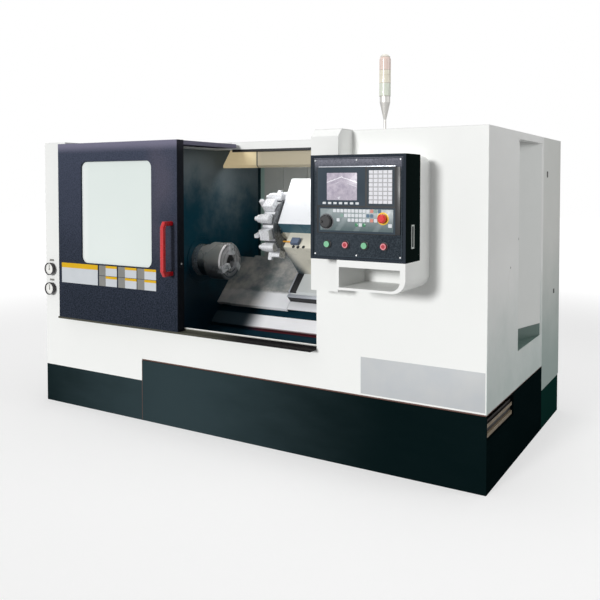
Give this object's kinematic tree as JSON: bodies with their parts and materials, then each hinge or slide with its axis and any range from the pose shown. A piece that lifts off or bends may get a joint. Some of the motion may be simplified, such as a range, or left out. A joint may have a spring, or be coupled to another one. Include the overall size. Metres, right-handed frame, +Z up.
{
  "type": "cnc turning lathe",
  "caption": "Slant-bed turning lathe with an enclosed bed, sliding door, power chuck, tool turret, tailstock and operator box.",
  "frame": {"origin": "on the floor under the middle of the machine, 830 mm behind the casing's front face", "axes": "+X to the right along the spindle, +Y to the rear, +Z up"},
  "size_m": [3.2, 1.9993, 2.318],
  "materials": {
    "white_paint": "satin",
    "plinth_paint": "satin",
    "door_paint": "hammered",
    "tank_paint": "satin",
    "casting": "painted",
    "machine_steel": "machined",
    "chuck_steel": "ground",
    "cover_steel": "brushed",
    "liner_paint": "satin",
    "turret_paint": "satin",
    "motor_paint": "matte",
    "belt_rubber": "matte",
    "window_glass": "clear",
    "red_plastic": "gloss",
    "green_plastic": "gloss",
    "black_paint": "satin",
    "panel_film": "matte",
    "screen_plastic": "gloss",
    "key_plastic": "matte",
    "black_plastic": "matte",
    "track_steel": "worn",
    "lamp_plastic": "frosted",
    "tower_plastic": "frosted",
    "tower_steel": "satin",
    "gauge_case": "satin",
    "unit_paint": "satin"
  },
  "bodies": {
    "casing": {"back_wall": "liner_paint", "chip_tray": "liner_paint", "coolant_tank": "tank_paint", "door_track": "track_steel", "drive_belt": "belt_rubber", "electrical_cabinet": "white_paint", "headstock": "casting", "headstock_wall": "liner_paint", "hydraulic_unit": "unit_paint", "keypad": "key_plastic", "left_fixed_cover": "cover_steel", "left_housing": "white_paint", "left_plinth": "plinth_paint", "machine_bed": "casting", "machine_panel": "panel_film", "operator_panel": "panel_film", "pendant_box": "black_paint", "pendant_column": "white_paint", "pendant_housing": "white_paint", "pressure_gauge_1": "gauge_case", "pressure_gauge_2": "gauge_case", "recess_panel": "white_paint", "right_fixed_cover": "cover_steel", "right_housing": "white_paint", "right_plinth": "plinth_paint", "screen_unit": "screen_plastic", "screw_motor": "motor_paint", "spindle_motor": "motor_paint", "tower_lamp": "tower_plastic", "tower_pole": "tower_steel", "work_lamp": "lamp_plastic"},
    "door": {"door_shell": "door_paint", "door_window": "window_glass", "door_handle": "red_plastic"},
    "spindle": {"spindle": "machine_steel", "spindle_pulley": "machine_steel", "chuck_body": "chuck_steel"},
    "motor_pulley": {"motor_pulley": "machine_steel"},
    "jaw_1": {"chuck_jaw_1": "machine_steel"},
    "jaw_2": {"chuck_jaw_2": "machine_steel"},
    "jaw_3": {"chuck_jaw_3": "machine_steel"},
    "carriage": {"carriage": "casting", "left_sliding_cover": "cover_steel", "right_sliding_cover": "cover_steel"},
    "long_screw": {"long_screw": "machine_steel"},
    "cross_slide": {"cross_slide": "casting", "turret_housing": "turret_paint"},
    "turret_disc": {"turret_disc": "chuck_steel"},
    "tailstock": {"tailstock": "casting"},
    "quill": {"tailstock_quill": "machine_steel"},
    "cabinet_door_1": {"cabinet_door_1": "white_paint"},
    "cabinet_door_2": {"cabinet_door_2": "white_paint"},
    "stop_button": {"stop_button": "red_plastic"},
    "handwheel": {"handwheel": "black_plastic"},
    "gauge_needle_1": {"gauge_needle_1": "black_plastic"},
    "gauge_needle_2": {"gauge_needle_2": "black_plastic"},
    "push_button_1": {"push_button_1": "green_plastic"},
    "push_button_2": {"push_button_2": "red_plastic"},
    "push_button_3": {"push_button_3": "green_plastic"},
    "push_button_4": {"push_button_4": "red_plastic"}
  },
  "joints": [
    {"name": "door_slide", "type": "slide", "parent": "casing", "child": "door", "axis": [1, 0, 0], "range_m": [0, 0.97]},
    {"name": "spindle_spin", "type": "hinge", "parent": "casing", "child": "spindle", "pos_m": [-0.5, -0.378, 1.026], "axis": [1, 0, 0], "continuous": true},
    {"name": "motor_pulley_spin", "type": "hinge", "parent": "casing", "child": "motor_pulley", "pos_m": [-1.25, -0.13, 0.452], "axis": [1, 0, 0], "continuous": true},
    {"name": "jaw_1_slide", "type": "slide", "parent": "spindle", "child": "jaw_1", "axis": [0, 0, 1], "range_m": [-0.004, 0.006]},
    {"name": "jaw_2_slide", "type": "slide", "parent": "spindle", "child": "jaw_2", "axis": [0, -0.866, -0.5], "range_m": [-0.004, 0.006]},
    {"name": "jaw_3_slide", "type": "slide", "parent": "spindle", "child": "jaw_3", "axis": [0, 0.866, -0.5], "range_m": [-0.004, 0.006]},
    {"name": "carriage_slide", "type": "slide", "parent": "casing", "child": "carriage", "axis": [1, 0, 0], "range_m": [-0.11, 0.31]},
    {"name": "long_screw_spin", "type": "hinge", "parent": "casing", "child": "long_screw", "pos_m": [1.34, -0.0103, 0.83508], "axis": [1, 0, 0], "continuous": true},
    {"name": "cross_slide_travel", "type": "slide", "parent": "carriage", "child": "cross_slide", "axis": [0, 0.7071, 0.7071], "range_m": [-0.22, 0.02]},
    {"name": "turret_index", "type": "hinge", "parent": "cross_slide", "child": "turret_disc", "pos_m": [0.015, -0.13758, 1.26642], "axis": [1, 0, 0], "continuous": true},
    {"name": "tailstock_slide", "type": "slide", "parent": "casing", "child": "tailstock", "axis": [1, 0, 0], "range_m": [-0.14, 0]},
    {"name": "quill_slide", "type": "slide", "parent": "tailstock", "child": "quill", "axis": [1, 0, 0], "range_m": [-0.08, 0]},
    {"name": "cabinet_door_1_hinge", "type": "hinge", "parent": "casing", "child": "cabinet_door_1", "pos_m": [-0.1, 0.824, 1], "axis": [0, 0, 1], "range_deg": [0, 110]},
    {"name": "cabinet_door_2_hinge", "type": "hinge", "parent": "casing", "child": "cabinet_door_2", "pos_m": [1.6, 0.824, 1], "axis": [0, 0, -1], "range_deg": [0, 110]},
    {"name": "stop_button_press", "type": "slide", "parent": "casing", "child": "stop_button", "axis": [0, 1, 0], "range_m": [0, 0.003]},
    {"name": "handwheel_spin", "type": "hinge", "parent": "casing", "child": "handwheel", "pos_m": [0.871, -1.149, 1.361], "axis": [0, -1, 0], "continuous": true},
    {"name": "push_button_1_press", "type": "slide", "parent": "casing", "child": "push_button_1", "axis": [0, 1, 0], "range_m": [0, 0.003], "stiffness_N_per_m": 900},
    {"name": "push_button_2_press", "type": "slide", "parent": "casing", "child": "push_button_2", "axis": [0, 1, 0], "range_m": [0, 0.003], "stiffness_N_per_m": 900},
    {"name": "push_button_3_press", "type": "slide", "parent": "casing", "child": "push_button_3", "axis": [0, 1, 0], "range_m": [0, 0.003], "stiffness_N_per_m": 900},
    {"name": "push_button_4_press", "type": "slide", "parent": "casing", "child": "push_button_4", "axis": [0, 1, 0], "range_m": [0, 0.003], "stiffness_N_per_m": 900},
    {"name": "gauge_needle_1_turn", "type": "hinge", "parent": "casing", "child": "gauge_needle_1", "pos_m": [-1.54, -0.86, 0.947], "axis": [0, -1, 0], "range_deg": [-135, 135]},
    {"name": "gauge_needle_2_turn", "type": "hinge", "parent": "casing", "child": "gauge_needle_2", "pos_m": [-1.54, -0.86, 0.807], "axis": [0, -1, 0], "range_deg": [-135, 135]}
  ],
  "couplings": [
    {"joint": "motor_pulley_spin", "follows": "spindle_spin", "ratio": 1.4667},
    {"joint": "jaw_2_slide", "follows": "jaw_1_slide", "ratio": 1},
    {"joint": "jaw_3_slide", "follows": "jaw_1_slide", "ratio": 1},
    {"joint": "long_screw_spin", "follows": "carriage_slide", "rad_per_m": 628.32}
  ]
}
